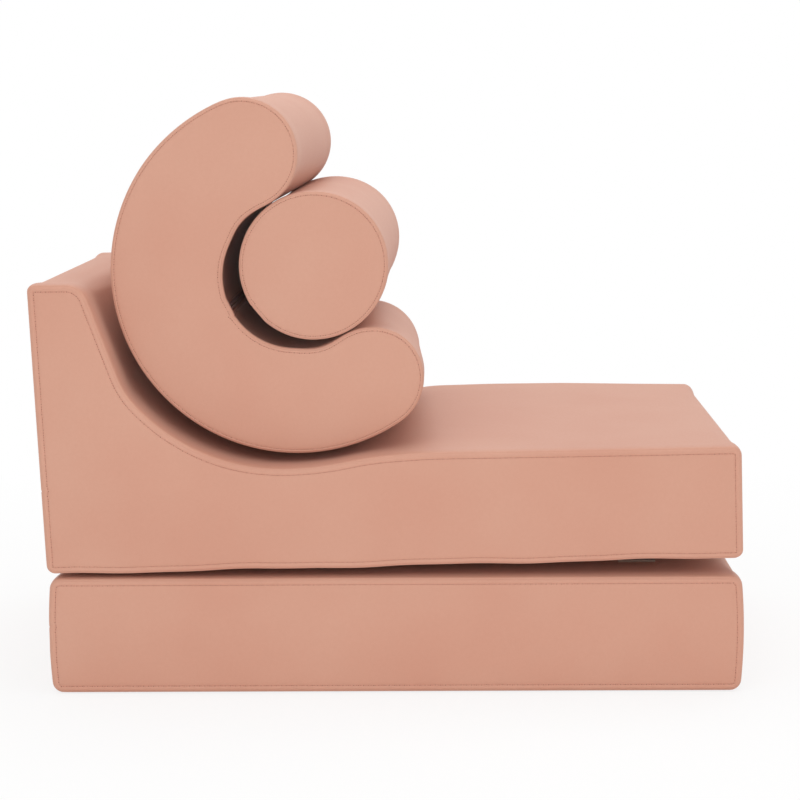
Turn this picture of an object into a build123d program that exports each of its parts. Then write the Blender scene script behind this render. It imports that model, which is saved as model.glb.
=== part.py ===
from build123d import *
from math import acos, atan, cos, degrees, hypot, radians, sin, sqrt, tan
import os

# Children's play sofa of four soft modules: a mattress base, a seat with a dished
# back, a half-moon bolster lying in the dish and a roll held between its two tips.
# Each module is a foam block in a sewn faux-leather cover with its own zip.
# Millimetres, +Z up, +X from the backrest to the front of the seat, +Y away from the
# side the sofa is looked at from. The origin is the middle of the base's underside.

# Base mattress
BASE_LENGTH = 920.0
BASE_HEIGHT = 156.0
SOFA_WIDTH = 600.0
BASE_CORNER = 14.0
END_CROWN = 4.0

# Seat module, seen from the side
SEAT_REAR_FOOT = -460.0
SEAT_REAR_HEAD = -475.0
SEAT_FRONT_FOOT = 458.0
SEAT_FRONT_HEAD = 454.0
SEAT_FRONT_TOP = 326.0
SEAT_RISE = 1.1
BACK_TOP = 545.0
SEAT_CORNER = 13.0
REAR_HEAD_CORNER = 10.0
BACK_ROUND = 30.0
DISH_LOW_X = -146.0
DISH_LOW_Z = 302.0
DISH_RADIUS = 256.0
DISH_ANGLE = 48.0
HEEL_RADIUS = 110.0
BACK_SLOPE = 70.0
CRADLE_RADIUS = 400.0
SEAT_ROLL_OFF = 300.0

# Half-moon bolster and roll
BOLSTER_WIDTH = 520.0
MOON_RADIUS = 247.0
MOON_TIP = 74.0
MOON_X = -127.0
MOON_OPENING = 29.2
HOLLOW_SHIFT = 2.0
ROLL_RADIUS = 98.0
ROLL_SHIFT = 26.0

# Covers: the walls are drawn in towards the side seams, the side panels crowned
COVER = 1.6
FOAM_GAP = 0.3
DRAW_IN = 6.0
DRAW_REACH = 16.0
PANEL_CROWN = 4.0
PANEL_SLOPE = 18.0
PILLOW_MARGIN = 5.0
PILLOW_EDGE = 0.1
REST_GAP = 0.3

# Hook-and-loop patches
PATCH = 50.0
PATCH_THICK = 1.2
PATCH_X = 325.0
PATCH_Y = 185.0
DISH_PATCH_Y = 70.0
DISH_PATCH_ANGLE = 41.0
PATCH_LIFT = 0.2

# Zips: two taped coils with a slider that runs between them
ZIP_LENGTH = 440.0
ZIP_SLOT = 11.0
ZIP_GAP = 0.5
TAPE_WIDTH = 13.5
TAPE_THICK = 0.8
COIL_IN = 0.8
COIL_OUT = 2.7
COIL_HEIGHT = 2.9
COIL_STOP = 4.0
FLAT_WIDTH = 30.0
FLAT_END = 16.0
FLAT_SINK = 0.4
TRENCH_DEPTH = 6.5
TRENCH_GAP = 1.0
CUT_REACH = 20.0
SLIDER_WIDTH = 8.4
SLIDER_LENGTH = 11.0
SLIDER_PLATE = 1.1
SLIDER_GAP = 0.3
DIVIDER_LENGTH = 6.0
LUG = 1.4
LUG_LENGTH = 3.2
LUG_TOP = 1.0
PIN_RADIUS = 0.7
EYE_WALL = 0.9
KNUCKLE_SIDES = 8
PULL_LENGTH = 20.0
PULL_ARM = 7.0
PULL_WIDTH = 7.0
PULL_THICK = 1.2
PULL_LOW = -0.84
PULL_CORNER = 1.5
PARK_INSET = 14.0
BASE_ZIP_HEIGHT = 78.0
SEAT_ZIP_HEIGHT = 260.0
MOON_ZIP_ANGLE = 206.0
ROLL_ZIP_ANGLE = 220.0

SEAT_FOOT = BASE_HEIGHT + 2 * PATCH_THICK
SIDE_PLANE = Plane(origin=(0, 0, 0), x_dir=(1, 0, 0), z_dir=(0, -1, 0))


def polar(centre, radius, angle):
    a = radians(angle)
    return (centre[0] + radius * cos(a), centre[1] + radius * sin(a))


def base_profile():
    half = BASE_LENGTH / 2 - END_CROWN
    middle = BASE_HEIGHT / 2
    with BuildSketch() as sketch:
        with BuildLine():
            Line((-half, 0), (half, 0))
            ThreePointArc((half, 0), (half + END_CROWN, middle), (half, BASE_HEIGHT))
            Line((half, BASE_HEIGHT), (-half, BASE_HEIGHT))
            ThreePointArc((-half, BASE_HEIGHT), (-half - END_CROWN, middle), (-half, 0))
        make_face()
        fillet(sketch.vertices(), BASE_CORNER)
    return sketch.sketch


def seat_profile():
    # The dish is a chain of tangent arcs: roll-off, cradle, dish, heel, then the
    # straight slope of the back. The seat rises in a straight line to its front.
    cradle = (DISH_LOW_X, DISH_LOW_Z + CRADLE_RADIUS)
    dish = (DISH_LOW_X, DISH_LOW_Z + DISH_RADIUS)
    reach = CRADLE_RADIUS + SEAT_ROLL_OFF
    head_front = (SEAT_FRONT_HEAD, SEAT_FRONT_TOP)
    over_x, over_z = cradle[0] - head_front[0], cradle[1] - head_front[1]
    drop = over_z * cos(radians(SEAT_RISE)) - over_x * sin(radians(SEAT_RISE)) + SEAT_ROLL_OFF
    lean = SEAT_RISE + degrees(acos(drop / reach))
    roll_off = polar(cradle, reach, lean - 90)
    flat_end = polar(roll_off, SEAT_ROLL_OFF, 90 + SEAT_RISE)
    inflection = polar(cradle, CRADLE_RADIUS, lean - 90)
    heel_start = polar(dish, DISH_RADIUS, 270 - DISH_ANGLE)
    heel = polar(heel_start, HEEL_RADIUS, 90 - DISH_ANGLE)
    heel_end = polar(heel, HEEL_RADIUS, 270 - BACK_SLOPE)
    back_x = heel_end[0] - (BACK_TOP - heel_end[1]) / tan(radians(BACK_SLOPE))
    foot_rear = (SEAT_REAR_FOOT, SEAT_FOOT)
    foot_front = (SEAT_FRONT_FOOT, SEAT_FOOT)
    head_rear = (SEAT_REAR_HEAD, BACK_TOP)
    with BuildSketch() as sketch:
        with BuildLine():
            Line(foot_rear, foot_front)
            Line(foot_front, head_front)
            Line(head_front, flat_end)
            ThreePointArc(
                flat_end,
                polar(roll_off, SEAT_ROLL_OFF, 90 + (SEAT_RISE + lean) / 2),
                inflection,
            )
            ThreePointArc(
                inflection,
                polar(cradle, CRADLE_RADIUS, lean / 2 - 90),
                (DISH_LOW_X, DISH_LOW_Z),
            )
            ThreePointArc(
                (DISH_LOW_X, DISH_LOW_Z),
                polar(dish, DISH_RADIUS, 270 - DISH_ANGLE / 2),
                heel_start,
            )
            ThreePointArc(
                heel_start,
                polar(heel, HEEL_RADIUS, 270 - (DISH_ANGLE + BACK_SLOPE) / 2),
                heel_end,
            )
            Line(heel_end, (back_x, BACK_TOP))
            Line((back_x, BACK_TOP), head_rear)
            Line(head_rear, foot_rear)
        make_face()
        corners = sketch.vertices()
        fillet(corners.sort_by_distance(head_rear)[0], REAR_HEAD_CORNER)
        fillet(sketch.vertices().sort_by_distance((back_x, BACK_TOP))[0], BACK_ROUND)
        for corner in (foot_rear, foot_front, head_front):
            fillet(sketch.vertices().sort_by_distance(corner)[0], SEAT_CORNER)
    return sketch.sketch


# The half-moon touches the cradle arc below and to the right of its own middle.
MOON_Z = (
    DISH_LOW_Z
    + CRADLE_RADIUS
    - sqrt((CRADLE_RADIUS - MOON_RADIUS - REST_GAP) ** 2 - (MOON_X - DISH_LOW_X) ** 2)
)
MOON_CENTRE = (MOON_X, MOON_Z)
TIP_REACH = MOON_RADIUS - MOON_TIP
ROLL_TO_TIP = ROLL_RADIUS + MOON_TIP + REST_GAP
TIP_ANGLE = degrees(
    acos((TIP_REACH**2 + ROLL_SHIFT**2 - ROLL_TO_TIP**2) / (2 * TIP_REACH * ROLL_SHIFT))
)
ROLL_CENTRE = polar(MOON_CENTRE, ROLL_SHIFT, MOON_OPENING)
HOLLOW_CENTRE = polar(MOON_CENTRE, -HOLLOW_SHIFT, MOON_OPENING)
TIPS = [polar(MOON_CENTRE, TIP_REACH, MOON_OPENING + s * TIP_ANGLE) for s in (1, -1)]
HOLLOW_RADIUS = hypot(TIPS[0][0] - HOLLOW_CENTRE[0], TIPS[0][1] - HOLLOW_CENTRE[1]) - MOON_TIP


def moon_profile():
    # Four tangent arcs: the round outside, a full tip at each end and the hollow,
    # which is pinched in between the tips so that they hold the roll.
    outer = [polar(MOON_CENTRE, MOON_RADIUS, MOON_OPENING + s * TIP_ANGLE) for s in (1, -1)]
    inner = [
        (
            HOLLOW_CENTRE[0] + (tip[0] - HOLLOW_CENTRE[0]) * HOLLOW_RADIUS / (HOLLOW_RADIUS + MOON_TIP),
            HOLLOW_CENTRE[1] + (tip[1] - HOLLOW_CENTRE[1]) * HOLLOW_RADIUS / (HOLLOW_RADIUS + MOON_TIP),
        )
        for tip in TIPS
    ]
    noses = [
        polar(TIPS[0], MOON_TIP, MOON_OPENING + TIP_ANGLE - 90),
        polar(TIPS[1], MOON_TIP, MOON_OPENING - TIP_ANGLE + 90),
    ]
    with BuildSketch() as sketch:
        with BuildLine():
            ThreePointArc(outer[0], polar(MOON_CENTRE, -MOON_RADIUS, MOON_OPENING), outer[1])
            ThreePointArc(outer[1], noses[1], inner[1])
            ThreePointArc(inner[1], polar(HOLLOW_CENTRE, -HOLLOW_RADIUS, MOON_OPENING), inner[0])
            ThreePointArc(inner[0], noses[0], outer[0])
        make_face()
    return sketch.sketch


def roll_profile():
    with BuildSketch() as sketch:
        with Locations(ROLL_CENTRE):
            Circle(ROLL_RADIUS)
    return sketch.sketch


def section(profile, inset, y):
    """The profile drawn in by inset, standing across the sofa at y."""
    face = profile.face() if inset == 0 else offset(profile, amount=-inset).face()
    return Pos(0, y, 0) * (SIDE_PLANE * face)


def pillow(box, half_width):
    """A block over the whole profile whose two sides are crowned panels."""
    x0, x1 = box.min.X - PILLOW_MARGIN, box.max.X + PILLOW_MARGIN
    z0, z1 = box.min.Z - PILLOW_MARGIN, box.max.Z + PILLOW_MARGIN
    edge = half_width - PANEL_CROWN
    sections = []
    for share, height in ((PILLOW_EDGE, z0), (1.0, (z0 + z1) / 2), (PILLOW_EDGE, z1)):
        swell = edge + PANEL_CROWN * share
        with BuildSketch(Plane.XY.offset(height)) as sketch:
            with BuildLine():
                ThreePointArc((x0, -edge), ((x0 + x1) / 2, -swell), (x1, -edge))
                Line((x1, -edge), (x1, edge))
                ThreePointArc((x1, edge), ((x0 + x1) / 2, swell), (x0, edge))
                Line((x0, edge), (x0, -edge))
            make_face()
        sections.append(sketch.sketch.face())
    return loft(sections)


def drawn_block(profile, inset, half_width, inward, along):
    """The profile right across the sofa, drawn in towards each side by a slope."""
    body = extrude(section(profile, inset, half_width), amount=2 * half_width, dir=(0, -1, 0))
    for end in (0, -1):
        face = body.faces().sort_by(Axis.Y)[end]
        body = chamfer(face.edges(), length=inward, length2=along, reference=face)
    return body


def cushion(profile, half_width, pillowed):
    """The outside of a cover: walls drawn in to the side seams and crowned panels.
    The two blocks have pillowed panels, the bolsters' panels rise in a slope."""
    if pillowed:
        body = drawn_block(profile, 0, half_width + 1, DRAW_IN, DRAW_REACH + PANEL_CROWN)
        return body & pillow(body.bounding_box(), half_width)
    body = drawn_block(profile, 0, half_width - PANEL_CROWN, DRAW_IN, DRAW_REACH)
    return body + drawn_block(profile, DRAW_IN, half_width, PANEL_SLOPE, PANEL_CROWN)


def filling(profile, half_width, inset):
    """The inside of a cover, or the foam in it, with flat sides."""
    return drawn_block(profile, inset, half_width - inset - PANEL_CROWN, DRAW_IN, DRAW_REACH)


def zip_plane(x, z, angle):
    """Across the zip, along the sofa's width, and out of the cover at the angle."""
    a = radians(angle)
    return Plane(origin=(x, 0, z), x_dir=(sin(a), 0, -cos(a)), z_dir=(cos(a), 0, sin(a)))


def block(plane, x0, x1, y0, y1, z0, z1):
    size = (x1 - x0, y1 - y0, z1 - z0)
    return plane * (Pos((x0 + x1) / 2, (y0 + y1) / 2, (z0 + z1) / 2) * Box(*size))


def covered(profile, half_width, pillowed, plane):
    """A cover with its zip opening on a flat strip, and the foam inside it."""
    across = FLAT_WIDTH / 2
    along = ZIP_LENGTH / 2 + FLAT_END
    outer = cushion(profile, half_width, pillowed)
    outer -= block(plane, -across, across, -along, along, 0, CUT_REACH)
    cover = outer - filling(profile, half_width, COVER)
    cover += block(plane, -across, across, -along, along, -COVER, 0)
    tape = TAPE_WIDTH + ZIP_GAP
    reach = ZIP_LENGTH / 2 + ZIP_GAP
    cover -= block(plane, -tape, tape, -reach, reach, -2 * COVER, -COVER)
    slot = ZIP_SLOT / 2
    open_end = reach - COIL_STOP
    cover -= block(plane, -slot, slot, -open_end, open_end, -2 * COVER, CUT_REACH)
    across += TRENCH_GAP
    along += TRENCH_GAP
    foam = filling(profile, half_width, COVER + FOAM_GAP)
    foam -= block(plane, -across, across, -along, along, -TRENCH_DEPTH, CUT_REACH)
    return cover, foam


def stringer(plane, side):
    """One coil of a zip on its tape, to one side of the middle line."""
    half = ZIP_LENGTH / 2
    tape_x = sorted((side * COIL_OUT, side * TAPE_WIDTH))
    coil_x = sorted((side * COIL_IN, side * COIL_OUT))
    tape = block(plane, *tape_x, -half, half, -COVER - TAPE_THICK, -COVER)
    return tape + block(plane, *coil_x, COIL_STOP - half, half - COIL_STOP, -COIL_HEIGHT, 0)


def zip_slider(plane, y, pin):
    """Two plates joined by the divider between the coils, with lugs and a pin on top."""
    w = SLIDER_WIDTH / 2
    y0, y1 = y - SLIDER_LENGTH / 2, y + SLIDER_LENGTH / 2
    top = SLIDER_GAP + SLIDER_PLATE
    low = -COIL_HEIGHT - top
    slider = block(plane, -w, w, y0, y1, SLIDER_GAP, top)
    slider += block(plane, -w, w, y0, y1, low, low + SLIDER_PLATE)
    divider = COIL_IN - SLIDER_GAP
    y0, y1 = y - DIVIDER_LENGTH / 2, y + DIVIDER_LENGTH / 2
    slider += block(plane, -divider, divider, y0, y1, low, top)
    y0, y1 = y - LUG_LENGTH / 2, y + LUG_LENGTH / 2
    for side in (1, -1):
        x0, x1 = sorted((side * (w - LUG), side * w))
        slider += block(plane, x0, x1, y0, y1, top, pin + LUG_TOP)
    return slider + plane * (Pos(0, y, pin) * Rot(0, 90, 0) * Cylinder(PIN_RADIUS, 2 * w - LUG))


def zip_pull(plane, y, pin):
    """The knuckle round the slider's pin and the tag that lies along the zip."""
    eye = PIN_RADIUS + SLIDER_GAP
    neck = SLIDER_WIDTH / 2 - LUG - SLIDER_GAP
    arm = PULL_ARM + PULL_CORNER
    with BuildSketch(Plane.YZ) as side_view:
        RegularPolygon(eye + EYE_WALL, KNUCKLE_SIDES)
        with Locations((arm / 2, PULL_LOW + PULL_THICK / 2)):
            Rectangle(arm, PULL_THICK)
        Circle(eye, mode=Mode.SUBTRACT)
    with BuildSketch(Plane.XY.offset(PULL_LOW)) as tag:
        with Locations((0, (PULL_ARM + PULL_LENGTH) / 2)):
            Rectangle(PULL_WIDTH, PULL_LENGTH - PULL_ARM)
        chamfer(tag.vertices(), PULL_CORNER)
    pull = extrude(side_view.sketch, amount=neck, both=True) + extrude(tag.sketch, amount=PULL_THICK)
    return plane * (Pos(0, y, pin) * pull)


def flat_patches(z):
    """Four square patches lying on the level z."""
    with BuildSketch(Plane.XY.offset(z)) as sketch:
        with GridLocations(2 * PATCH_X, 2 * PATCH_Y, 2, 2):
            Rectangle(PATCH, PATCH)
    return extrude(sketch.sketch, amount=PATCH_THICK)


def bent_patches(centre, radius, thick, angle):
    """Two patches bent to a round face, one towards each side of the sofa."""
    span = degrees(PATCH / radius) / 2
    r1 = radius + thick
    a0, a1 = angle - span, angle + span
    with BuildSketch() as sketch:
        with BuildLine():
            near = ThreePointArc(*(polar(centre, radius, a) for a in (a0, angle, a1)))
            far = ThreePointArc(*(polar(centre, r1, a) for a in (a1, angle, a0)))
            Line(near @ 1, far @ 0)
            Line(far @ 1, near @ 0)
        make_face()
    pads = []
    for side in (1, -1):
        y = side * DISH_PATCH_Y + PATCH / 2
        pads.append(extrude(section(sketch.sketch, 0, y), amount=PATCH, dir=(0, -1, 0)))
    return Compound(children=pads)


PROFILES = {
    "base": (base_profile(), SOFA_WIDTH / 2, True),
    "seat": (seat_profile(), SOFA_WIDTH / 2, True),
    "half_moon": (moon_profile(), BOLSTER_WIDTH / 2, False),
    "roll": (roll_profile(), BOLSTER_WIDTH / 2, False),
}

# The zips of the base and the seat run along their rear ends, those of the half-moon
# and the roll lie hidden in the hollow. Every slider is parked at the end away from
# the side the sofa is looked at from.
rear_slope = (SEAT_REAR_FOOT - SEAT_REAR_HEAD) / (BACK_TOP - SEAT_FOOT)
seat_zip_x = SEAT_REAR_FOOT - rear_slope * (SEAT_ZIP_HEIGHT - SEAT_FOOT)
moon_zip = polar(HOLLOW_CENTRE, sqrt(HOLLOW_RADIUS**2 - (FLAT_WIDTH / 2) ** 2), MOON_ZIP_ANGLE)
roll_zip = polar(ROLL_CENTRE, sqrt(ROLL_RADIUS**2 - (FLAT_WIDTH / 2) ** 2), ROLL_ZIP_ANGLE)
ZIPS = {
    "base": zip_plane(FLAT_SINK - BASE_LENGTH / 2, BASE_ZIP_HEIGHT, 180),
    "seat": zip_plane(seat_zip_x, SEAT_ZIP_HEIGHT, 180 + degrees(atan(rear_slope))),
    "half_moon": zip_plane(*moon_zip, MOON_ZIP_ANGLE - 180),
    "roll": zip_plane(*roll_zip, ROLL_ZIP_ANGLE),
}
SLIDER_Y = ZIP_LENGTH / 2 - PARK_INSET
PIN_HEIGHT = SLIDER_GAP + SLIDER_PLATE + PIN_RADIUS + SLIDER_GAP + EYE_WALL + SLIDER_GAP

nodes = {}
for name, (profile, half_width, pillowed) in PROFILES.items():
    plane = ZIPS[name]
    cover, foam = covered(profile, half_width, pillowed, plane)
    nodes[f"{name}_cover"] = cover
    nodes[f"{name}_foam"] = foam
    nodes[f"{name}_zip_tape_upper"] = stringer(plane, 1)
    nodes[f"{name}_zip_tape_lower"] = stringer(plane, -1)
    nodes[f"{name}_zip_slider"] = zip_slider(plane, SLIDER_Y, PIN_HEIGHT)
    nodes[f"{name}_zip_pull"] = zip_pull(plane, SLIDER_Y, PIN_HEIGHT)

nodes["base_hook_patches"] = flat_patches(BASE_HEIGHT)
nodes["seat_loop_patches"] = flat_patches(BASE_HEIGHT + PATCH_THICK)
nodes["dish_hook_patches"] = bent_patches(
    (DISH_LOW_X, DISH_LOW_Z + DISH_RADIUS), DISH_RADIUS - PATCH_LIFT, -PATCH_THICK, 270 - DISH_PATCH_ANGLE
)
nodes["half_moon_loop_patches"] = bent_patches(
    MOON_CENTRE, MOON_RADIUS + PATCH_LIFT, PATCH_THICK, 270 - DISH_PATCH_ANGLE
)

os.makedirs("parts", exist_ok=True)
for name, solid in nodes.items():
    export_step(solid, f"parts/{name}.step")
    print(name, round(solid.volume), len(solid.solids()))
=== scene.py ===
import math
import bpy
import bmesh
import numpy as np
from mathutils import Matrix, Vector
from mathutils.bvhtree import BVHTree
from mathutils.geometry import delaunay_2d_cdt


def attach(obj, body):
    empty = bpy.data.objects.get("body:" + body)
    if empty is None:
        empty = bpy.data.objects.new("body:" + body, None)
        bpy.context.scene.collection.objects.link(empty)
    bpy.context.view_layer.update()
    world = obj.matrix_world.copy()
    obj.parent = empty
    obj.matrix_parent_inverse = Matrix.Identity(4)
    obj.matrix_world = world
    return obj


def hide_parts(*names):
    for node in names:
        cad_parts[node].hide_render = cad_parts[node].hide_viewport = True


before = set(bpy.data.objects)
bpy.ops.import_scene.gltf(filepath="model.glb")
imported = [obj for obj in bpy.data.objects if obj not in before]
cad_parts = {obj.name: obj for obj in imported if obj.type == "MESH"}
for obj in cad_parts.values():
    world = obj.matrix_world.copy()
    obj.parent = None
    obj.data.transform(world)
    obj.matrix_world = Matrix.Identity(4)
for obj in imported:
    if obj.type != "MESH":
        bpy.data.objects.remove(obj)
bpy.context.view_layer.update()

bl_info = {
    "name": "Children's play sofa",
    "version": (1, 0, 0),
    "blender": (4, 5, 0),
    "location": "3D Viewport > Sidebar > Play sofa",
    "description": "Dresses the four foam modules of a play sofa in sewn faux-leather covers",
    "category": "Object",
}

MM = 0.001
PHOTO_PIXELS = 800
FOCAL_PIXELS = 2170
FLOOR_LEVEL = -0.5 * MM

# The zip's slot and its placket: where the slot ends, how far out the topstitch and the
# placket's flat reach, and the two columns of the outline that the slot runs between
SLOT_END = 216.5
TOPSTITCH_OUT = 8.2
PLACKET_OUT = 15
SLOT_COLUMNS = (5, 7)

# Outlines, seen from the side, in mm


def polar(centre, radius, angle):
    a = math.radians(angle)
    return np.array((centre[0] + radius * math.cos(a), centre[1] + radius * math.sin(a)))


def arc(centre, radius, start, end, step):
    """Points from the start to the end angle, about step apart and at most 12 degrees."""
    turn = abs(end - start)
    count = max(2, math.ceil(math.radians(turn) * radius / step), math.ceil(turn / 12))
    return [polar(centre, radius, start + (end - start) * i / count) for i in range(count + 1)]


def rounded(before, corner, after, radius):
    """The rounding of a straight corner, from one straight to the next."""
    corner = np.array(corner, float)
    u = np.array(before, float) - corner
    v = np.array(after, float) - corner
    u /= np.linalg.norm(u)
    v /= np.linalg.norm(v)
    half = math.acos(float(np.clip(u @ v, -1, 1))) / 2
    centre = corner + (u + v) / np.linalg.norm(u + v) * radius / math.sin(half)
    reach = radius / math.tan(half)
    first = corner + u * reach - centre
    last = corner + v * reach - centre
    a0 = math.degrees(math.atan2(first[1], first[0]))
    a1 = math.degrees(math.atan2(last[1], last[0]))
    a1 = a0 + (a1 - a0 + 180) % 360 - 180
    return arc(centre, radius, a0, a1, 6)


def filled_in(points, step):
    """The closed outline with its long straights divided."""
    out = []
    for i, p in enumerate(points):
        q = points[(i + 1) % len(points)]
        gap = float(np.linalg.norm(q - p))
        if gap < 0.05:
            continue
        count = max(1, round(gap / step))
        out += [p + (q - p) * k / count for k in range(count)]
    return np.array(out)


def with_placket(points, origin, angle):
    """Flattens the outline on the zip's strip and gives it the placket's seam there."""
    out_dir = polar((0, 0), 1, angle)
    along = np.array((-out_dir[1], out_dir[0]))
    rel = points - np.array(origin)
    near = (np.abs(rel @ along) < PLACKET_OUT + 1.5) & (np.abs(rel @ out_dir) < 12)
    first = int(np.argmax(near & ~np.roll(near, 1)))
    keep = np.roll(points, -first, axis=0)[int(np.sum(near)):]
    marks = ((-PLACKET_OUT, 0), (-12.9, 0), (-11.9, -1.1), (-10.9, 0), (-TOPSTITCH_OUT, 0), (-5.5, 0),
             (0, 0), (5.5, 0), (TOPSTITCH_OUT, 0), (12, 0), (PLACKET_OUT, 0))
    strip = np.array([np.array(origin) + along * u + out_dir * n for u, n in marks])
    return np.vstack((strip, keep))


BASE_RIM = ((-456, 0), (456, 0), (456, 156), (-456, 156))


def base_outline(step):
    """The mattress: upright ends that swell 4 mm between rounded corners."""
    points = []
    for i, corner in enumerate(BASE_RIM):
        points += rounded(BASE_RIM[i - 1], corner, BASE_RIM[(i + 1) % 4], 14)
    points = filled_in(points, step)
    ends = np.sign(points[:, 0]) * (np.abs(points[:, 0]) > 441)
    swell = 4 * (1 - ((points[:, 1] - 78) / 78) ** 2)
    points[:, 0] += ends * swell
    return points


def seat_outline(step):
    """Flat seat, a dish of tangent arcs for the half-moon and a sloping back."""
    low_x, low_z, rise = -146.0, 302.0, 1.1
    dish_r, cradle_r, roll_off_r, heel_r = 256.0, 400.0, 300.0, 110.0
    foot_rear, foot_front = (-460, 158.4), (458, 158.4)
    head_front, head_rear = (454, 326), (-475, 545)
    cradle = (low_x, low_z + cradle_r)
    dish = (low_x, low_z + dish_r)
    tilt = math.radians(rise)
    drop = (cradle[1] - head_front[1]) * math.cos(tilt) + roll_off_r
    drop -= (low_x - head_front[0]) * math.sin(tilt)
    lean = rise + math.degrees(math.acos(drop / (cradle_r + roll_off_r)))
    roll_off = polar(cradle, cradle_r + roll_off_r, lean - 90)
    flat_end = polar(roll_off, roll_off_r, 90 + rise)
    heel_start = polar(dish, dish_r, 222)
    heel = polar(heel_start, heel_r, 42)
    heel_end = polar(heel, heel_r, 200)
    back_x = heel_end[0] - (545 - heel_end[1]) / math.tan(math.radians(70))
    back = (back_x, 545)
    points = rounded(head_rear, foot_rear, foot_front, 13)
    points += rounded(foot_rear, foot_front, head_front, 13)
    points += rounded(foot_front, head_front, flat_end, 13)
    points += arc(roll_off, roll_off_r, 90 + rise, 90 + lean, step)
    points += arc(cradle, cradle_r, lean - 90, -90, step)[1:]
    points += arc(dish, dish_r, 270, 222, step)[1:]
    points += arc(heel, heel_r, 222, 200, step)[1:]
    points += rounded(heel_end, back, head_rear, 30)
    points += rounded(back, head_rear, foot_rear, 10)
    return filled_in(points, step)


MOON = (-127.0, 550.487)
OPENING = 29.2
TIP_ANGLE = 84.145
ROLL = (-104.304, 563.171)
HOLLOW = (-128.746, 549.511)
HOLLOW_RADIUS = 99.215


def half_moon_outline(step):
    """Four tangent arcs: the round outside, two full tips and the hollow between them."""
    tips = [polar(MOON, 173, OPENING + s * TIP_ANGLE) for s in (1, -1)]
    lean = [math.degrees(math.atan2(*(HOLLOW - tip)[::-1])) for tip in tips]
    points = arc(MOON, 247, OPENING + TIP_ANGLE, OPENING + 360 - TIP_ANGLE, step)
    points += arc(tips[1], 74, OPENING - TIP_ANGLE, lean[1], step)[1:]
    start, end = (math.degrees(math.atan2(*(tip - HOLLOW)[::-1])) for tip in (tips[1], tips[0]))
    points += arc(HOLLOW, HOLLOW_RADIUS, start, end - 360, step)[1:]
    points += arc(tips[0], 74, lean[0], OPENING + TIP_ANGLE, step)[1:]
    return filled_in(points[:-1], step)


def roll_outline(step):
    return filled_in(arc(ROLL, 98, 0, 360, step)[:-1], step)


def outward(outline):
    """Unit normals of a counter-clockwise outline."""
    t = np.roll(outline, -1, axis=0) - np.roll(outline, 1, axis=0)
    t /= np.linalg.norm(t, axis=1)[:, None]
    return np.stack((t[:, 1], -t[:, 0]), axis=1)


def distance_to(points, ring):
    """Distance from each point to a closed ring."""
    a = ring
    b = np.roll(ring, -1, axis=0)
    best = np.full(len(points), 1e9)
    for p, q in zip(a, b):
        d = q - p
        s = np.clip(((points - p) @ d) / (d @ d), 0, 1)
        best = np.minimum(best, np.linalg.norm(points - p - s[:, None] * d, axis=1))
    return best


def inside(points, ring):
    hit = np.zeros(len(points), bool)
    for p, q in zip(ring, np.roll(ring, -1, axis=0)):
        if p[1] == q[1]:
            continue
        cross = (p[1] > points[:, 1]) != (q[1] > points[:, 1])
        x = p[0] + (points[:, 1] - p[1]) / (q[1] - p[1]) * (q[0] - p[0])
        hit ^= cross & (points[:, 0] < x)
    return hit


# Materials


def linear(code):
    """An sRGB hex value as linear red, green, blue and alpha."""
    parts = [int(code[i:i + 2], 16) / 255 for i in (0, 2, 4)]
    return [c / 12.92 if c <= 0.04045 else ((c + 0.055) / 1.055) ** 2.4 for c in parts] + [1.0]


def add(tree, kind, inputs=None, **settings):
    """One node with its settings; inputs take a value or another node's output."""
    node = tree.nodes.new(kind)
    for key, value in settings.items():
        setattr(node, key, value)
    for key, value in (inputs or {}).items():
        if isinstance(value, bpy.types.NodeSocket):
            tree.links.new(value, node.inputs[key])
        else:
            node.inputs[key].default_value = value
    return node


def new_material(name):
    material = bpy.data.materials.new(name)
    material.use_nodes = True
    material.node_tree.nodes.clear()
    return material, material.node_tree


def two_tones(tree, factor, first, second):
    return add(tree, "ShaderNodeMix", {0: factor, 6: linear(first), 7: linear(second)},
               data_type="RGBA").outputs[2]


def finish_surface(tree, inputs, normal=None):
    """The surface shader and the output it goes to."""
    shader = add(tree, "ShaderNodeBsdfPrincipled", inputs)
    if normal is not None:
        tree.links.new(normal, shader.inputs["Normal"])
    add(tree, "ShaderNodeOutputMaterial", {"Surface": shader.outputs[0]})


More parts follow.
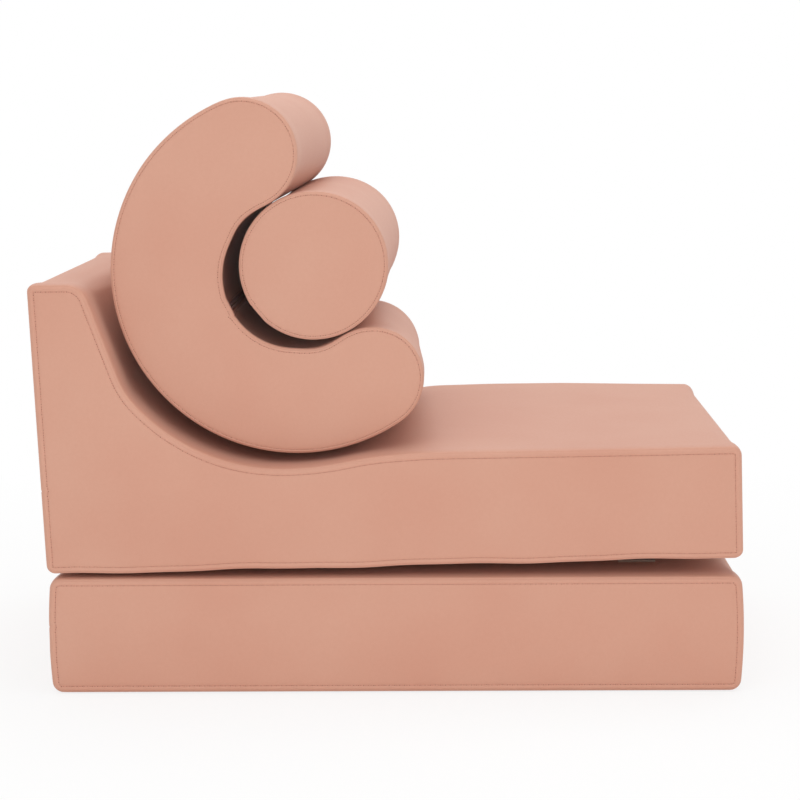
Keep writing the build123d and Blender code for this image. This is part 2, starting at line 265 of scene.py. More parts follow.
def coated_faux_leather():
    """Polyurethane on knitted polyester, embossed: an even, slightly waxy skin. Its grain
    cells are 0.6 mm in life and are drawn 1.7 mm wide, so that they just show."""
    colours = bpy.context.scene.sofa_colours
    material, tree = new_material("coated_faux_leather")
    place = add(tree, "ShaderNodeTexCoord").outputs["Object"]
    cells = add(tree, "ShaderNodeTexVoronoi", {"Vector": place, "Scale": 1 / (1.7 * MM)},
                feature="SMOOTH_F1")
    pores = add(tree, "ShaderNodeTexNoise", {"Vector": place, "Scale": 1 / (4 * MM), "Detail": 3.0})
    cloud = add(tree, "ShaderNodeTexNoise", {"Vector": place, "Scale": 1 / 0.16, "Detail": 2.0})
    swell = add(tree, "ShaderNodeTexNoise", {"Vector": place, "Scale": 1 / 0.07, "Detail": 2.0})
    tone = add(tree, "ShaderNodeMapRange", {"Value": cloud.outputs["Fac"], 1: 0.3, 2: 0.7})
    body = two_tones(tree, tone.outputs[0], colours.leather, colours.leather_shade)
    speck = add(tree, "ShaderNodeMapRange",
                {"Value": pores.outputs["Fac"], 1: 0.25, 2: 0.75, 3: 0.0, 4: 0.10})
    colour = add(tree, "ShaderNodeMix", {0: speck.outputs[0], 6: body, 7: linear(colours.leather_pore)},
                 data_type="RGBA")
    rough = add(tree, "ShaderNodeMapRange", {"Value": pores.outputs["Fac"], 3: 0.50, 4: 0.62})
    soft = add(tree, "ShaderNodeBump",
               {"Height": swell.outputs["Fac"], "Strength": 0.10, "Distance": 3 * MM})
    grain = add(tree, "ShaderNodeBump", {"Height": cells.outputs["Distance"], "Strength": 0.16,
                                         "Distance": 0.5 * MM, "Normal": soft.outputs[0]})
    finish_surface(tree, {"Base Color": colour.outputs[2], "Roughness": rough.outputs[0], "IOR": 1.46,
                          "Specular IOR Level": 0.34, "Specular Tint": linear("F9E6DD"),
                          "Sheen Weight": 0.10, "Sheen Tint": linear("FFF0EA"), "Sheen Roughness": 0.5},
                   grain.outputs[0])
    return material


def polyester_thread():
    """Bonded three-ply sewing thread: a shade deeper than the cover, with a twist that
    is 0.8 mm in life and drawn at 1.2 mm."""
    material, tree = new_material("polyester_thread")
    place = add(tree, "ShaderNodeTexCoord").outputs["Object"]
    twist = add(tree, "ShaderNodeTexWave", {"Vector": place, "Scale": 1 / (7.5 * MM), "Distortion": 1.0},
                bands_direction="DIAGONAL")
    colour = two_tones(tree, twist.outputs["Fac"], "AE6F5A", "C98F7A")
    bump = add(tree, "ShaderNodeBump",
               {"Height": twist.outputs["Fac"], "Strength": 0.4, "Distance": 0.2 * MM})
    finish_surface(tree, {"Base Color": colour, "Roughness": 0.55, "Sheen Weight": 0.2}, bump.outputs[0])
    return material


def needle_hole_painted_shade():
    """The pierced skin at each end of a stitch: a flat dark disc, painted shade that stands in for the shade
    inside the small pit of a needle hole.
    """
    material, tree = new_material("needle_hole_painted_shade")
    place = add(tree, "ShaderNodeTexCoord").outputs["Object"]
    grain = add(tree, "ShaderNodeTexNoise", {"Vector": place, "Scale": 1 / (2 * MM)})
    # Dark browns: painted shade of the needle hole's pit
    colour = two_tones(tree, grain.outputs["Fac"], "6E3C2C", "83503F")
    finish_surface(tree, {"Base Color": colour, "Roughness": 0.8})
    return material


def cut_foam():
    """Sawn polyurethane foam: open cells of about 1 mm that catch no highlight."""
    material, tree = new_material("cut_polyurethane_foam")
    place = add(tree, "ShaderNodeTexCoord").outputs["Object"]
    cells = add(tree, "ShaderNodeTexVoronoi", {"Vector": place, "Scale": 1 / (1.4 * MM)})
    colour = two_tones(tree, cells.outputs["Distance"], "EFE3C6", "D9C9A4")
    bump = add(tree, "ShaderNodeBump",
               {"Height": cells.outputs["Distance"], "Strength": 0.8, "Distance": 0.6 * MM})
    finish_surface(tree, {"Base Color": colour, "Roughness": 0.95, "Sheen Weight": 0.15}, bump.outputs[0])
    return material


def woven_tape():
    """Woven polyester zip tape: a herringbone whose 0.5 mm ribs are drawn at 1 mm."""
    material, tree = new_material("woven_polyester_tape")
    place = add(tree, "ShaderNodeTexCoord").outputs["Object"]
    ribs = add(tree, "ShaderNodeTexWave", {"Vector": place, "Scale": 1 / (6.3 * MM), "Distortion": 0.6},
               bands_direction="Y")
    slant = add(tree, "ShaderNodeTexWave", {"Vector": place, "Scale": 1 / (9 * MM)},
                bands_direction="DIAGONAL")
    weave = add(tree, "ShaderNodeMath", {0: ribs.outputs["Fac"], 1: slant.outputs["Fac"]},
                operation="MULTIPLY")
    colour = two_tones(tree, weave.outputs[0], "A9705C", "C78E79")
    bump = add(tree, "ShaderNodeBump", {"Height": weave.outputs[0], "Strength": 0.6, "Distance": 0.3 * MM})
    finish_surface(tree, {"Base Color": colour, "Roughness": 0.75, "Sheen Weight": 0.25}, bump.outputs[0])
    return material


def lacquered_zinc():
    """Die-cast zinc with baked lacquer: smooth, softly shiny, rubbed a little thin."""
    material, tree = new_material("lacquered_zinc")
    place = add(tree, "ShaderNodeTexCoord").outputs["Object"]
    rub = add(tree, "ShaderNodeTexNoise", {"Vector": place, "Scale": 1 / (3 * MM), "Detail": 4.0})
    colour = two_tones(tree, rub.outputs["Fac"], "B07A66", "C58F7A")
    rough = add(tree, "ShaderNodeMapRange", {"Value": rub.outputs["Fac"], 3: 0.25, 4: 0.42})
    bump = add(tree, "ShaderNodeBump",
               {"Height": rub.outputs["Fac"], "Strength": 0.1, "Distance": 0.1 * MM})
    finish_surface(tree, {"Base Color": colour, "Roughness": rough.outputs[0], "Metallic": 0.35,
                          "Coat Weight": 0.4, "Coat Roughness": 0.2}, bump.outputs[0])
    return material


def hook_tape():
    """Moulded nylon hooks on woven tape: a stiff grey-beige stubble in rows 1.6 mm apart."""
    material, tree = new_material("nylon_hook_tape")
    place = add(tree, "ShaderNodeTexCoord").outputs["Object"]
    dots = add(tree, "ShaderNodeTexVoronoi", {"Vector": place, "Scale": 1 / (1.6 * MM), "Randomness": 0.15})
    tall = add(tree, "ShaderNodeMapRange",
               {"Value": dots.outputs["Distance"], 1: 0.1, 2: 0.5, 3: 1.0, 4: 0.0})
    colour = two_tones(tree, tall.outputs[0], "8E7667", "B39C8B")
    bump = add(tree, "ShaderNodeBump", {"Height": tall.outputs[0], "Strength": 0.9, "Distance": 0.8 * MM})
    finish_surface(tree, {"Base Color": colour, "Roughness": 0.45}, bump.outputs[0])
    return material


def loop_tape():
    """Brushed nylon loops: a matt, woolly nap about 1 mm deep."""
    material, tree = new_material("nylon_loop_tape")
    place = add(tree, "ShaderNodeTexCoord").outputs["Object"]
    nap = add(tree, "ShaderNodeTexNoise", {"Vector": place, "Scale": 1 / (1.2 * MM), "Detail": 5.0,
                                           "Distortion": 1.5})
    colour = two_tones(tree, nap.outputs["Fac"], "8F7869", "BBA594")
    bump = add(tree, "ShaderNodeBump",
               {"Height": nap.outputs["Fac"], "Strength": 1.0, "Distance": 0.8 * MM})
    finish_surface(tree, {"Base Color": colour, "Roughness": 0.95, "Sheen Weight": 0.4}, bump.outputs[0])
    return material


MAKERS = {
    "leather": coated_faux_leather,
    "thread": polyester_thread,
    # The hole finish is painted shade for the needle holes
    "hole": needle_hole_painted_shade,
    "foam": cut_foam,
    "tape": woven_tape,
    "zinc": lacquered_zinc,
    "hook": hook_tape,
    "loop": loop_tape,
}
made = {}


def finish_of(kind):
    if kind not in made:
        made[kind] = MAKERS[kind]()
    return made[kind]


# Sewn covers


def new_object(name, vertices, faces, materials):
    mesh = bpy.data.meshes.new(name)
    mesh.from_pydata([tuple(v) for v in vertices], [], [tuple(int(i) for i in f) for f in faces])
    mesh.validate()
    mesh.polygons.foreach_set("use_smooth", [True] * len(mesh.polygons))
    for kind in materials:
        mesh.materials.append(finish_of(kind))
    piece = bpy.data.objects.new(name, mesh)
    bpy.context.scene.collection.objects.link(piece)
    return piece


def panel_grid(seam, rings, spacing):
    """Points of a side panel: rows that follow the seam, then an even field."""
    normal = outward(seam)
    points = [seam]
    reach = [np.zeros(len(seam))]
    for d in rings:
        row = seam - normal * d
        far = distance_to(row, seam)
        ok = (far > d - 0.25) & inside(row, seam)
        points.append(row[ok])
        reach.append(far[ok])
    low, high = seam.min(axis=0), seam.max(axis=0)
    field = []
    for j, z in enumerate(np.arange(low[1], high[1], spacing * 0.866)):
        shift = spacing / 2 * (j % 2)
        field += [(x + shift, z) for x in np.arange(low[0], high[0], spacing)]
    field = np.array(field)
    field = field[inside(field, seam)]
    far = distance_to(field, seam)
    ok = far > rings[-1] + spacing * 0.6
    points.append(field[ok])
    reach.append(far[ok])
    points = np.vstack(points)
    reach = np.concatenate(reach)
    verts, _, faces, origin, _, _ = delaunay_2d_cdt(
        [Vector(p) for p in points], [], [list(range(len(seam)))], 1, 1e-5)
    source = [o[0] for o in origin]
    faces = [[source[i] for i in f] for f in faces]
    return points, reach, faces


def sewn_cover(name, outline, half, look, bend=None):
    """A closed cover in one mesh, in mm: a wall that runs round the outline and a side
    panel at each end, joined in a folded seam, with the zip's slot left open. Returns
    the mesh object and the outline of its seam."""
    normal = outward(outline)
    count = len(outline)
    middle = np.linspace(-SLOT_END, SLOT_END, 37)
    top = [(half - t, i) for i, t in look["wall"]]
    near_edge = min(y for y, _ in top)
    fill = max(1, round((near_edge - SLOT_END) / 12))
    top += [(SLOT_END + (near_edge - SLOT_END) * k / fill, 0.0) for k in range(1, fill)]
    top.sort()
    rows = [(-y, i) for y, i in reversed(top)] + [(y, 0.0) for y in middle] + top
    slack = look["slack"]
    vertices, held, cap = [], [], []
    strip = np.arange(count) <= 10
    for y, inset in rows:
        edge = half - abs(y)
        give = np.clip((edge - 26) / 40, 0, 1)
        give = give * give * (3 - 2 * give)
        loose = np.where(strip, 0.0, give)
        xz = outline - normal * (inset + slack * loose)[:, None]
        vertices.append(np.column_stack((xz[:, 0], np.full(count, y), xz[:, 1])))
        held.append(1 - loose)
        cap.append(slack * loose)
    vertices = np.vstack(vertices)
    held = np.concatenate(held)
    cap = np.concatenate(cap)
    faces = []
    for r in range(len(rows) - 1):
        y0, y1 = rows[r][0], rows[r + 1][0]
        open_row = y0 > -SLOT_END - 0.1 and y1 < SLOT_END + 0.1
        for c in range(count):
            if open_row and SLOT_COLUMNS[0] <= c < SLOT_COLUMNS[1]:
                continue
            d = (c + 1) % count
            faces.append((r * count + c, (r + 1) * count + c, (r + 1) * count + d, r * count + d))
    seam = outline - normal * look["wall"][-1][0]
    grid, reach, triangles = panel_grid(seam, look["rings"], 12)
    crown_x, crown_t = zip(*look["panel"])
    sink = np.interp(reach, crown_x, crown_t)
    for side in (-1, 1):
        start = len(vertices)
        first = 0 if side < 0 else (len(rows) - 1) * count
        body = np.column_stack((grid[:, 0], side * (half - sink), grid[:, 1]))[count:]
        vertices = np.vstack((vertices, body))
        give = np.clip((reach[count:] - look["rings"][-2]) / 40, 0, 1)
        held = np.concatenate((held, 1 - give))
        cap = np.concatenate((cap, look["puff"] * give))
        for tri in triangles:
            ids = [first + i if i < count else start + i - count for i in tri]
            faces.append(ids if side < 0 else ids[::-1])
    if bend:
        vertices = bend(vertices)
    piece = new_object(name, vertices * MM, faces, ("leather",))
    fold_slot(piece)
    swell(piece, held, cap * MM)
    subdivide = piece.modifiers.new("Softened", "SUBSURF")
    subdivide.levels = subdivide.render_levels = 1
    return piece, seam


def fold_slot(piece):
    """Turns the raw edge of the zip's slot in by the cover's thickness."""
    made_mesh = bmesh.new()
    made_mesh.from_mesh(piece.data)
    made_mesh.normal_update()
    edges = [e for e in made_mesh.edges if e.is_boundary]
    inward = {v: v.normal.copy() for e in edges for v in e.verts}
    turned = bmesh.ops.extrude_edge_only(made_mesh, edges=edges)
    new = [v for v in turned["geom"] if isinstance(v, bmesh.types.BMVert)]
    for v in new:
        old = min(inward, key=lambda o: (o.co - v.co).length_squared)
        v.co -= inward[old] * 1.6 * MM
    for f in made_mesh.faces:
        f.smooth = True
    made_mesh.to_mesh(piece.data)
    made_mesh.free()


def swell(piece, held, cap):
    """Blows the cover up with cloth pressure, between the seams that hold it, then
    keeps each point within its cap."""
    mesh = piece.data
    total = len(mesh.vertices)
    held = np.concatenate((held, np.ones(total - len(held))))
    cap = np.concatenate((cap, np.zeros(total - len(cap))))
    rest = np.empty(total * 3)
    mesh.vertices.foreach_get("co", rest)
    rest = rest.reshape(-1, 3)
    normal = np.empty(total * 3)
    mesh.vertices.foreach_get("normal", normal)
    normal = normal.reshape(-1, 3)
    group = piece.vertex_groups.new(name="sewn")
    for i, weight in enumerate(held):
        group.add([i], float(weight), "REPLACE")
    cloth = piece.modifiers.new("Stuffing", "CLOTH")
    settings = cloth.settings
    settings.quality = 5
    settings.mass = 0.3
    settings.tension_stiffness = settings.compression_stiffness = 12
    settings.shear_stiffness = 6
    settings.bending_stiffness = 0.6
    settings.use_pressure = True
    settings.uniform_pressure_force = 4
    settings.vertex_group_mass = "sewn"
    settings.effector_weights.gravity = 0
    cloth.collision_settings.use_collision = False
    cloth.point_cache.frame_start = 1
    cloth.point_cache.frame_end = 20
    scene = bpy.context.scene
    for step in range(1, 21):
        scene.frame_set(step)
    blown = piece.evaluated_get(bpy.context.evaluated_depsgraph_get()).to_mesh()
    after = np.empty(total * 3)
    blown.vertices.foreach_get("co", after)
    move = after.reshape(-1, 3) - rest
    piece.modifiers.remove(cloth)
    piece.vertex_groups.remove(group)
    scene.frame_set(1)
    size = np.linalg.norm(move, axis=1)
    kept = cap * np.tanh(size / np.maximum(cap, 1e-6))
    move *= (kept / np.maximum(size, 1e-9))[:, None]
    rest += move
    mesh.vertices.foreach_set("co", rest.ravel())
    mesh.update()


def surface_of(piece):
    return BVHTree.FromObject(piece, bpy.context.evaluated_depsgraph_get())


STITCH = ((-0.5, 0.0, -0.45), (-0.36, 0.8, -0.02), (0.0, 1.0, 0.16), (0.36, 0.8, -0.02), (0.5, 0.0, -0.45))


def stitches(name, body, lines, tree):
    """Thread that shows between its needle holes. Each line is a path in mm, the direction
    that it faces and whether it closes; the stitches are laid on the cover under it."""
    sizes = bpy.context.scene.sofa_sizes
    pitch = sizes.stitch_pitch / MM
    thick = sizes.thread / MM / 2
    vertices, faces, kinds = [], [], []
    for path, facing, closed in lines:
        way = np.array(facing, float)
        path = np.array(path, float)
        if closed:
            path = np.vstack((path, path[:1]))
        steps = np.linalg.norm(np.diff(path, axis=0), axis=1)
        run = np.concatenate(((0,), np.cumsum(steps)))
        total = max(1, round(run[-1] / pitch))
        marks = (np.arange(total) + 0.5) * run[-1] / total
        spots = np.stack([np.interp(marks, run, path[:, k]) for k in range(3)], axis=1)
        after = np.minimum(marks + 1, run[-1])
        before = np.maximum(marks - 1, 0)
        ahead = np.stack([np.interp(after, run, path[:, k]) for k in range(3)], axis=1)
        back = np.stack([np.interp(before, run, path[:, k]) for k in range(3)], axis=1)
        for i, spot in enumerate(spots):
            start = Vector((spot + way * 20) * MM)
            hit, normal, _, _ = tree.ray_cast(start, Vector(-way), 0.06)
            if hit is None:
                continue
            along = Vector(ahead[i] - back[i])
            along = (along - normal * along.dot(normal)).normalized()
            across = normal.cross(along)
            length = run[-1] / total * 0.80
            base = len(vertices)
            for s, r, h in STITCH:
                for k in range(6):
                    a = math.tau * k / 6
                    offset = along * (s * length) + across * (math.cos(a) * thick * r)
                    offset += normal * (h + math.sin(a) * thick * 0.8 * r)
                    vertices.append(hit + offset * MM)
            for ring in range(len(STITCH) - 1):
                for k in range(6):
                    p, q = base + ring * 6 + k, base + ring * 6 + (k + 1) % 6
                    faces.append((p, q, q + 6, p + 6))
                    kinds.append(0)
            # The needle hole: a flat dark disc just above the cover, painted shade in place of the pit's own
            # shade
            base = len(vertices)
            centre = hit + along * (run[-1] / total / 2) * MM
            near, face_normal, _, _ = tree.find_nearest(centre)
            for k in range(8):
                a = math.tau * k / 8
                offset = along * math.cos(a) * 0.62 + across * math.sin(a) * 0.62 + face_normal * 0.12
                vertices.append(near + offset * MM)
            faces.append(tuple(range(base, base + 8)))
            kinds.append(1)
    piece = new_object(name, vertices, faces, ("thread", "hole"))
    piece.data.polygons.foreach_set("material_index", kinds)
    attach(piece, body)


def foam_core(name, body, outline, half, bend):
    """The foam block, a little smaller than its cover, with its sawn edges eased."""
    normal = outward(outline)
    count = len(outline)
    ends = ((half - 8.0, 8.0), (half - 10.0, 6.0), (half - 16.0, 5.6), (half - 42.0, 5.6),
            (half - 100.0, 5.6), (60.0, 5.6))
    rows = [(-y, inset) for y, inset in ends] + [(y, inset) for y, inset in reversed(ends)]
    vertices = []
    for y, inset in rows:
        x, z = (outline - normal * inset).T
        vertices.append(np.column_stack((x, np.full(count, y), z)))
    vertices = np.vstack(vertices)
    faces = []
    for r in range(len(rows) - 1):
        for c in range(count):
            d = (c + 1) % count
            faces.append((r * count + c, (r + 1) * count + c, (r + 1) * count + d, r * count + d))
    grid, _, triangles = panel_grid(outline - normal * ends[0][1], (6.0,), 40)
    for side in (-1, 1):
        start = len(vertices)
        first = 0 if side < 0 else (len(rows) - 1) * count
        cap = np.column_stack((grid[:, 0], np.full(len(grid), side * ends[0][0]), grid[:, 1]))
        vertices = np.vstack((vertices, cap[count:]))
        for tri in triangles:
            ids = [first + i if i < count else start + i - count for i in tri]
            faces.append(ids if side < 0 else ids[::-1])
    if bend:
        vertices = bend(vertices)
    piece = new_object(name, vertices * MM, faces, ("foam",))
    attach(piece, body)
    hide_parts(name.replace("_core", ""))


BLOCK_LOOK = {
    "wall": ((0.0, 26.0), (0.0, 17.0), (0.25, 10.0), (0.9, 6.0), (1.9, 3.6), (3.3, 3.6)),
    "rings": (0.8, 2.6, 5.0, 6.6, 8.2, 12.0, 20.0),
    "panel": ((0.0, 3.6), (0.8, 2.2), (2.6, 1.5), (5.0, 1.6), (6.6, 2.7), (8.2, 1.6), (12.0, 1.1),
              (20.0, 0.6), (45.0, -0.4), (90.0, -1.0), (200.0, -1.2)),
    "slack": 1.6,
    "puff": 3.5,
    "stitch": 6.6,
}
BOLSTER_LOOK = {
    "wall": ((0.0, 26.0), (0.0, 17.0), (0.2, 10.0), (0.6, 6.0), (1.2, 3.9), (2.4, 3.9)),
    "rings": (0.7, 1.8, 3.2, 4.6, 8.0, 13.0, 20.0),
    "panel": ((0.0, 3.9), (0.7, 2.6), (1.8, 2.1), (3.2, 3.0), (4.6, 2.0), (8.0, 1.5), (13.0, 1.0),
              (20.0, 0.5), (45.0, -0.4), (90.0, -1.0), (200.0, -1.2)),
    "slack": 1.6,
    "puff": 3.5,
    "stitch": 3.2,
}

ZIP_PLACES = {
    "base": ((-459.6, 78.0), 180.0),
    "seat": ((-463.942, 260.0), 182.222),
    "half_moon": (tuple(polar(HOLLOW, math.sqrt(HOLLOW_RADIUS**2 - 225), 206)), 26.0),
    "roll": (tuple(polar(ROLL, math.sqrt(98**2 - 225), 220)), 220.0),
}
OUTLINES = {
    "base": (base_outline, 300.0, BLOCK_LOOK),
    "seat": (seat_outline, 300.0, BLOCK_LOOK),
    "half_moon": (half_moon_outline, 260.0, BOLSTER_LOOK),
    "roll": (roll_outline, 260.0, BOLSTER_LOOK),
}


def eased(values):
    """Values cut to 0 and 1, with a soft start and end."""
    values = np.clip(values, 0, 1)
    return values * values * (3 - 2 * values)


def lifted_seat(points):
    """The seat's underside rises off the mattress towards the front, in a slow wave, and
    its top stands full in front of the dish, fuller on the far side."""
    x, y, z = points.T
    wave = np.sin(x / 41.0) * 1.1 + np.sin(x / 17.0 + 1.0) * 0.4
    under = (1.5 + 19.0 * np.clip((x + 460) / 918, 0, 1) + wave) * np.clip((300 - z) / 140, 0, 1)
    near = np.interp(x, (60, 250, 450), (4.5, 3.0, 2.0))
    far = np.interp(x, (60, 140, 250, 370, 450), (14.0, 14.5, 13.0, 8.5, 6.0))
    full = near + (far - near) * np.clip((y + 300) / 600, 0, 1)
    points[:, 2] += under + full * eased((x + 60) / 120) * eased((z - 200) / 100)
    return points


def askew(points):
    """The half-moon lies a little askew. At its far end the tips turn about its own axis;
    at its near end the outside is drawn in, most of all at the bottom, and the rim of the
    hollow is stuffed full. The back of the hollow, where the zip is, stays."""
    x, y, z = points[:, 0] - MOON[0], points[:, 1].copy(), points[:, 2] - MOON[1]
    off = (np.degrees(np.arctan2(z, x)) - 206 + 180) % 360 - 180
    share = eased((np.abs(off) - 25) / 55) * np.clip((y + 260) / 520, 0, 1)
    turn = -np.radians(np.where(off < 0, 6.2, 7.2)) * share
    reach = np.hypot(x, z)
    draw = np.where(z < 0, 3 - z / 31, 3 * np.clip(1 - z / 150, 0, 1))
    draw *= eased((reach - 110) / 130) * eased((-100 - y) / 160)
    rim = 5 * eased((126 - reach) / 25) * eased((-218 - y) / 36) * eased((80 - np.abs(off - 5)) / 25)
    size = 1 - (draw + rim) / reach
    points[:, 0] = MOON[0] + (x * np.cos(turn) - z * np.sin(turn)) * size
    points[:, 2] = MOON[1] + (x * np.sin(turn) + z * np.cos(turn)) * size
    return points


def full_roll(points):
    """The roll stands full in the mouth of the half-moon, fuller at its far end."""
    x, y, z = points[:, 0] - ROLL[0], points[:, 1], points[:, 2] - ROLL[1]
    off = (np.degrees(np.arctan2(z, x)) - OPENING + 180) % 360 - 180
    full = (2.0 + 5.0 * (y + 260) / 520) * np.cos(np.radians(np.clip(off, -80, 80) * 90 / 80)) ** 2
    size = 1 + full * eased(np.hypot(x, z) / 98) / 98
    points[:, 0] = ROLL[0] + x * size
    points[:, 2] = ROLL[1] + z * size
    return points


def make_module(name, bend=None):
    """One module: its sewn cover, the stitches on it and the foam inside it."""
    draw, half, look = OUTLINES[name]
    origin, angle = ZIP_PLACES[name]
    outline = with_placket(draw(11.0), origin, angle)
    cover, seam = sewn_cover(f"{name}_sewn_cover", outline, half, look, bend)
    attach(cover, name)
    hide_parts(f"{name}_cover")
    path = seam - outward(seam) * look["stitch"]
    far = distance_to(path, seam)
    path = path[(far > look["stitch"] - 0.3) & inside(path, seam)]
    lines = []
    for side in (-1, 1):
        guide = np.column_stack((path[:, 0], np.full(len(path), side * half), path[:, 1]))
        if bend:
            guide = bend(guide)
        lines.append((guide, (0, side, 0), True))
    out_dir = polar((0, 0), 1, angle)
    along = np.array((-out_dir[1], out_dir[0]))
    for u in (TOPSTITCH_OUT, -TOPSTITCH_OUT):
        x, z = np.array(origin) + along * u
        guide = [(x, -half + 12, z), (x, half - 12, z)]
        lines.append((guide, (out_dir[0], 0, out_dir[1]), False))
    stitches(f"{name}_stitches", name, lines, surface_of(cover))
    foam_core(f"{name}_foam_core", name, draw(22.0), half, bend)


# Settings


class SofaSizes(bpy.types.PropertyGroup):
    stitch_pitch: bpy.props.FloatProperty(
        name="Stitch pitch", description="Length of one topstitch with its hole",
        default=0.0068, min=0.003, max=0.02, subtype="DISTANCE", unit="LENGTH")
    thread: bpy.props.FloatProperty(
        name="Thread", description="Thickness of the sewing thread",
        default=0.0009, min=0.0003, max=0.003, subtype="DISTANCE", unit="LENGTH")
    camera_distance: bpy.props.FloatProperty(
        name="Camera distance", description="From the camera to the middle plane of the sofa",
        default=3.09, min=1.0, max=10.0, subtype="DISTANCE", unit="LENGTH")
    camera_height: bpy.props.FloatProperty(
        name="Camera height", description="Height of the camera over the floor",
        default=0.7817, min=0.0, max=3.0, subtype="DISTANCE", unit="LENGTH")
    camera_tilt: bpy.props.FloatProperty(
        name="Camera roll", description="Roll of the camera about its line of sight",
        default=math.radians(0.35), subtype="ANGLE", unit="ROTATION")


class SofaColours(bpy.types.PropertyGroup):
    leather: bpy.props.StringProperty(
        name="Faux leather", description="Main colour of the covers, sRGB hex", default="D3A08B")
    leather_shade: bpy.props.StringProperty(
        name="Faux leather, deeper", description="Colour the covers drift towards, sRGB hex",
        default="D09A85")
    leather_pore: bpy.props.StringProperty(
        name="Faux leather, pores", description="Colour in the pits of the grain, sRGB hex",
        default="C08771")


# Operators


class SOFA_OT_base(bpy.types.Operator):
    """Makes the mattress: cover, stitches and foam"""
    bl_idname = "sofa.base"
    bl_label = "Base mattress"

    def execute(self, context):
        make_module("base")
        return {"FINISHED"}


class SOFA_OT_seat(bpy.types.Operator):
    """Makes the seat with its dished back: cover, stitches and foam"""
    bl_idname = "sofa.seat"
    bl_label = "Seat and back"

    def execute(self, context):
        make_module("seat", lifted_seat)
        return {"FINISHED"}


class SOFA_OT_half_moon(bpy.types.Operator):
    """Makes the half-moon bolster: cover, stitches and foam"""
    bl_idname = "sofa.half_moon"
    bl_label = "Half-moon bolster"

    def execute(self, context):
        make_module("half_moon", askew)
        return {"FINISHED"}


class SOFA_OT_roll(bpy.types.Operator):
    """Makes the roll that the half-moon holds: cover, stitches and foam"""
    bl_idname = "sofa.roll"
    bl_label = "Roll"

    def execute(self, context):
        make_module("roll", full_roll)
        return {"FINISHED"}


def repaint(part, kind):
    """Gives a part of the frame its own finish."""
    found = [o for n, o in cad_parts.items() if part in n]
    if not found:
        raise RuntimeError(f"the frame has no {part}")
    for piece in found:
        if not piece.material_slots:
            piece.data.materials.append(None)
        for place in piece.material_slots:
            place.material = finish_of(kind)


class SOFA_OT_zips(bpy.types.Operator):
    """Finishes the zips: woven tapes, lacquered sliders and pulls"""
    bl_idname = "sofa.zips"
    bl_label = "Zips"

    def execute(self, context):
        repaint("_zip_tape_", "tape")
        repaint("_zip_slider", "zinc")
        repaint("_zip_pull", "zinc")
        return {"FINISHED"}


class SOFA_OT_patches(bpy.types.Operator):
    """Finishes the hook and loop patches between the modules"""
    bl_idname = "sofa.patches"
    bl_label = "Hook and loop patches"

    def execute(self, context):
        repaint("_hook_patches", "hook")
        repaint("_loop_patches", "loop")
        return {"FINISHED"}


def lamp(name, place, target, size, power):
    """A square softbox that faces its target."""
    data = bpy.data.lights.new(name, "AREA")
    data.shape = "SQUARE"
    data.size = size
    data.energy = power
    light = bpy.data.objects.new(name, data)
    light.location = place
    light.rotation_euler = (Vector(target) - Vector(place)).to_track_quat("-Z", "Y").to_euler()
    bpy.context.scene.collection.objects.link(light)


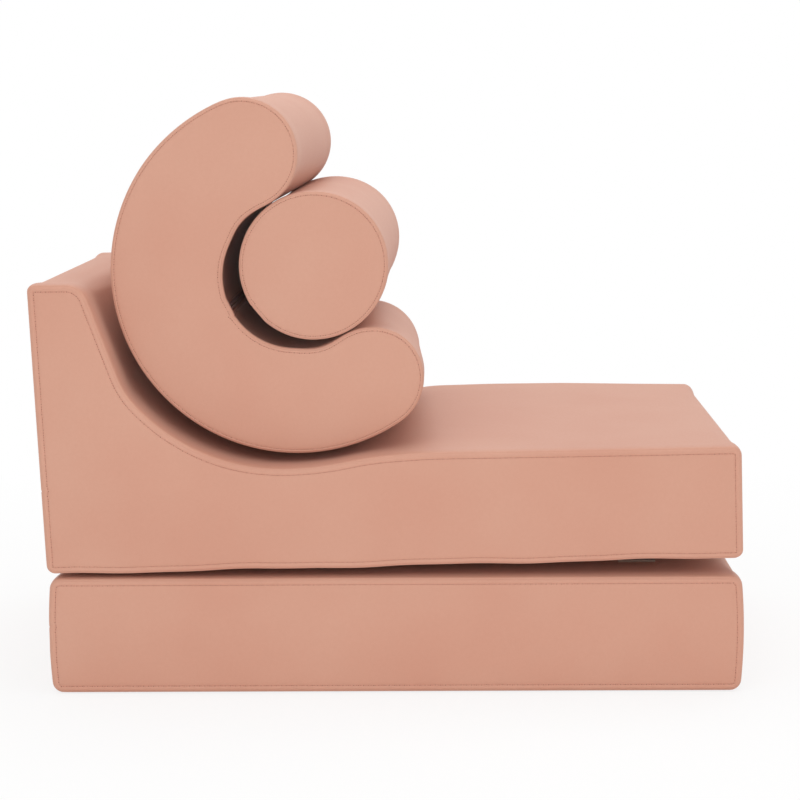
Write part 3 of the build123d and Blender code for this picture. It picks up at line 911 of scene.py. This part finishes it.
class SOFA_OT_stage(bpy.types.Operator):
    """Makes the floor, the softboxes, the pale surroundings and the camera"""
    bl_idname = "sofa.stage"
    bl_label = "Stage"

    def execute(self, context):
        scene = context.scene
        sizes = scene.sofa_sizes
        material, tree = new_material("white_studio_floor")
        path = add(tree, "ShaderNodeLightPath")
        grain = add(tree, "ShaderNodeTexNoise", {"Scale": 3.0})
        tone = two_tones(tree, grain.outputs["Fac"], "FFFFFF", "FBFBFB")
        matt = add(tree, "ShaderNodeBsdfDiffuse", {"Color": tone})
        glow = add(tree, "ShaderNodeEmission", {"Color": (1, 1, 1, 1), "Strength": 1.0})
        place = add(tree, "ShaderNodeTexCoord").outputs["Object"]
        away = add(tree, "ShaderNodeVectorMath", {0: place}, operation="LENGTH")
        blend = add(tree, "ShaderNodeMapRange",
                    {"Value": away.outputs["Value"], 1: 0.5, 2: 1.6, 3: 0.80, 4: 1.0})
        share = add(tree, "ShaderNodeMath", {0: path.outputs["Is Camera Ray"], 1: blend.outputs[0]},
                    operation="MULTIPLY")
        mixed = add(tree, "ShaderNodeMixShader",
                    {0: share.outputs[0], 1: matt.outputs[0], 2: glow.outputs[0]})
        add(tree, "ShaderNodeOutputMaterial", {"Surface": mixed.outputs[0]})
        mesh = bpy.data.meshes.new("studio_floor")
        corners = [(x, y, FLOOR_LEVEL) for x, y in ((-9, -9), (9, -9), (9, 9), (-9, 9))]
        mesh.from_pydata(corners, [], [(0, 1, 2, 3)])
        mesh.materials.append(material)
        floor = bpy.data.objects.new("studio_floor", mesh)
        scene.collection.objects.link(floor)

        world = bpy.data.worlds.new("studio_air")
        scene.world = world
        world.use_nodes = True
        tree = world.node_tree
        tree.nodes.clear()
        path = add(tree, "ShaderNodeLightPath")
        seen = add(tree, "ShaderNodeMath",
                   {0: path.outputs["Is Camera Ray"], 1: path.outputs["Is Glossy Ray"]}, operation="MAXIMUM")
        seen = add(tree, "ShaderNodeMath", {0: seen.outputs[0], 1: path.outputs["Is Transmission Ray"]},
                   operation="MAXIMUM")
        strength = add(tree, "ShaderNodeMapRange", {"Value": seen.outputs[0], 3: 0.60, 4: 1.0})
        air = add(tree, "ShaderNodeBackground", {"Color": (1, 1, 1, 1), "Strength": strength.outputs[0]})
        add(tree, "ShaderNodeOutputWorld", {"Surface": air.outputs[0]})

        lamp("key_softbox", (-1.2, -2.6, 2.6), (0, 0, 0.3), 2.2, 17)
        lamp("fill_softbox", (2.4, -2.2, 1.4), (0, 0, 0.3), 2.2, 12)
        lamp("front_softbox", (-0.3, -3.6, 0.6), (0, 0, 0.4), 1.4, 16)
        lamp("top_softbox", (0.2, 0.6, 3.0), (0, 0, 0.3), 2.4, 30)

        camera_data = bpy.data.cameras.new("photo_camera")
        camera_data.sensor_width = 36.0
        camera_data.lens = FOCAL_PIXELS / PHOTO_PIXELS * camera_data.sensor_width
        camera_data.clip_end = 60
        camera = bpy.data.objects.new("photo_camera", camera_data)
        right = Vector((0.99976, 0.0214, -0.0031))
        up = Vector((0.0, 0.1385, 0.9904))
        back = right.cross(up).normalized()
        up = back.cross(right).normalized()
        turn = Matrix((right.normalized(), up, back)).transposed().to_4x4()
        roll = Matrix.Rotation(-sizes.camera_tilt, 4, "Z")
        place = Matrix.Translation((0.0701, -sizes.camera_distance, sizes.camera_height))
        camera.matrix_world = place @ turn @ roll
        scene.collection.objects.link(camera)
        scene.camera = camera
        scene.view_settings.view_transform = "Standard"
        return {"FINISHED"}


OPERATORS = (SOFA_OT_base, SOFA_OT_seat, SOFA_OT_half_moon, SOFA_OT_roll, SOFA_OT_zips, SOFA_OT_patches,
             SOFA_OT_stage)


class SOFA_PT_panel(bpy.types.Panel):
    """Lists the sofa's pieces and settings"""
    bl_idname = "SOFA_PT_panel"
    bl_label = "Play sofa"
    bl_space_type = "VIEW_3D"
    bl_region_type = "UI"
    bl_category = "Play sofa"

    def draw(self, context):
        for operator in OPERATORS:
            self.layout.operator(operator.bl_idname)
        for group in (context.scene.sofa_sizes, context.scene.sofa_colours):
            for key in group.__annotations__:
                self.layout.prop(group, key)


CLASSES = (SofaSizes, SofaColours) + OPERATORS + (SOFA_PT_panel,)


def register():
    for cls in CLASSES:
        bpy.utils.register_class(cls)
    bpy.types.Scene.sofa_sizes = bpy.props.PointerProperty(type=SofaSizes)
    bpy.types.Scene.sofa_colours = bpy.props.PointerProperty(type=SofaColours)


def unregister():
    del bpy.types.Scene.sofa_colours
    del bpy.types.Scene.sofa_sizes
    for cls in reversed(CLASSES):
        bpy.utils.unregister_class(cls)


def main():
    register()
    bpy.ops.sofa.base()
    bpy.ops.sofa.seat()
    bpy.ops.sofa.half_moon()
    bpy.ops.sofa.roll()
    bpy.ops.sofa.zips()
    bpy.ops.sofa.patches()
    bpy.ops.sofa.stage()


if __name__ == "__main__":
    main()
